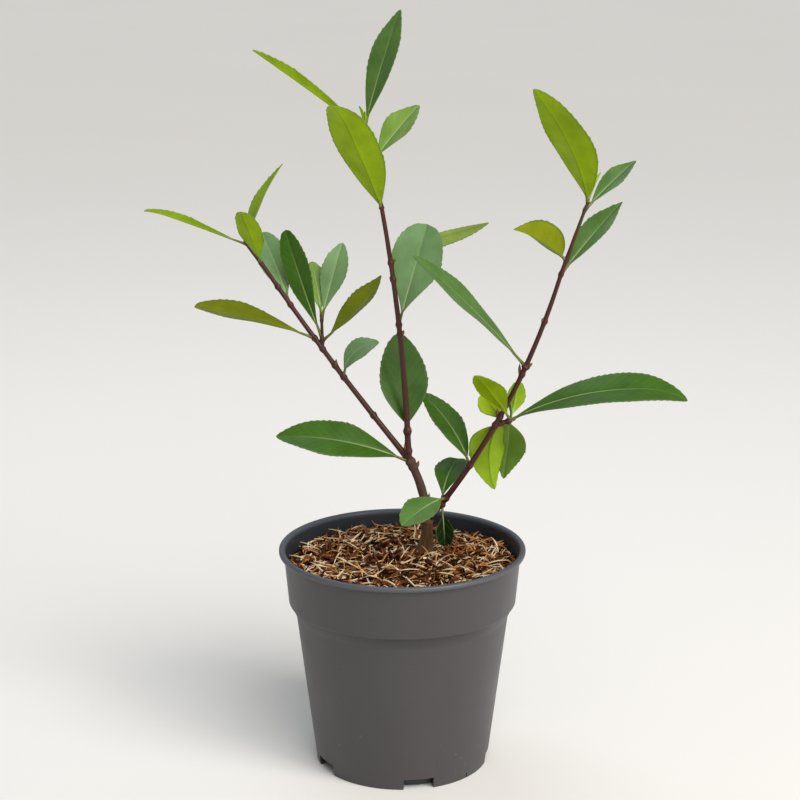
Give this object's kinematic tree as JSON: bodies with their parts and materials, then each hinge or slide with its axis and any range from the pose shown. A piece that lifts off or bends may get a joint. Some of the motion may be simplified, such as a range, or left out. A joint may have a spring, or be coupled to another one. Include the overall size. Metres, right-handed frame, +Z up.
{
  "type": "potted yerba mate shrub",
  "caption": "Young evergreen shrub with slender forked boughs and narrow toothed leaves, standing in bark mix in a round tapered plastic nursery pot.",
  "frame": {"origin": "centre of the pot's flat underside, on the pot's axis", "axes": "+Z up along the pot's axis, -Y to the front, +X to the right seen from the front"},
  "size_m": [0.2753, 0.13, 0.3935],
  "materials": {
    "pot_plastic": "satin",
    "bark_mix": "rough",
    "stem_bark": "rough",
    "bough_bark": "satin",
    "leaf": "satin"
  },
  "bodies": {
    "root": {"pot": "pot_plastic", "potting_mix": "bark_mix", "main_stem": "stem_bark", "bough_centre": "bough_bark", "bough_left": "bough_bark", "bough_right": "bough_bark", "left_crown": "leaf", "left_back_leaf": "leaf", "left_side_shoot": "leaf", "left_outer_leaf": "leaf", "left_inner_leaf": "leaf", "fork_leaf": "leaf", "centre_crown": "leaf", "centre_broad_leaf": "leaf", "centre_back_leaf": "leaf", "centre_low_leaf": "leaf", "right_crown": "leaf", "right_inner_leaf": "leaf", "right_side_shoot": "leaf", "right_low_leaf": "leaf", "right_foot_leaf": "leaf", "foot_front_leaf": "leaf", "foot_hanging_leaf": "leaf"}
  },
  "joints": []
}
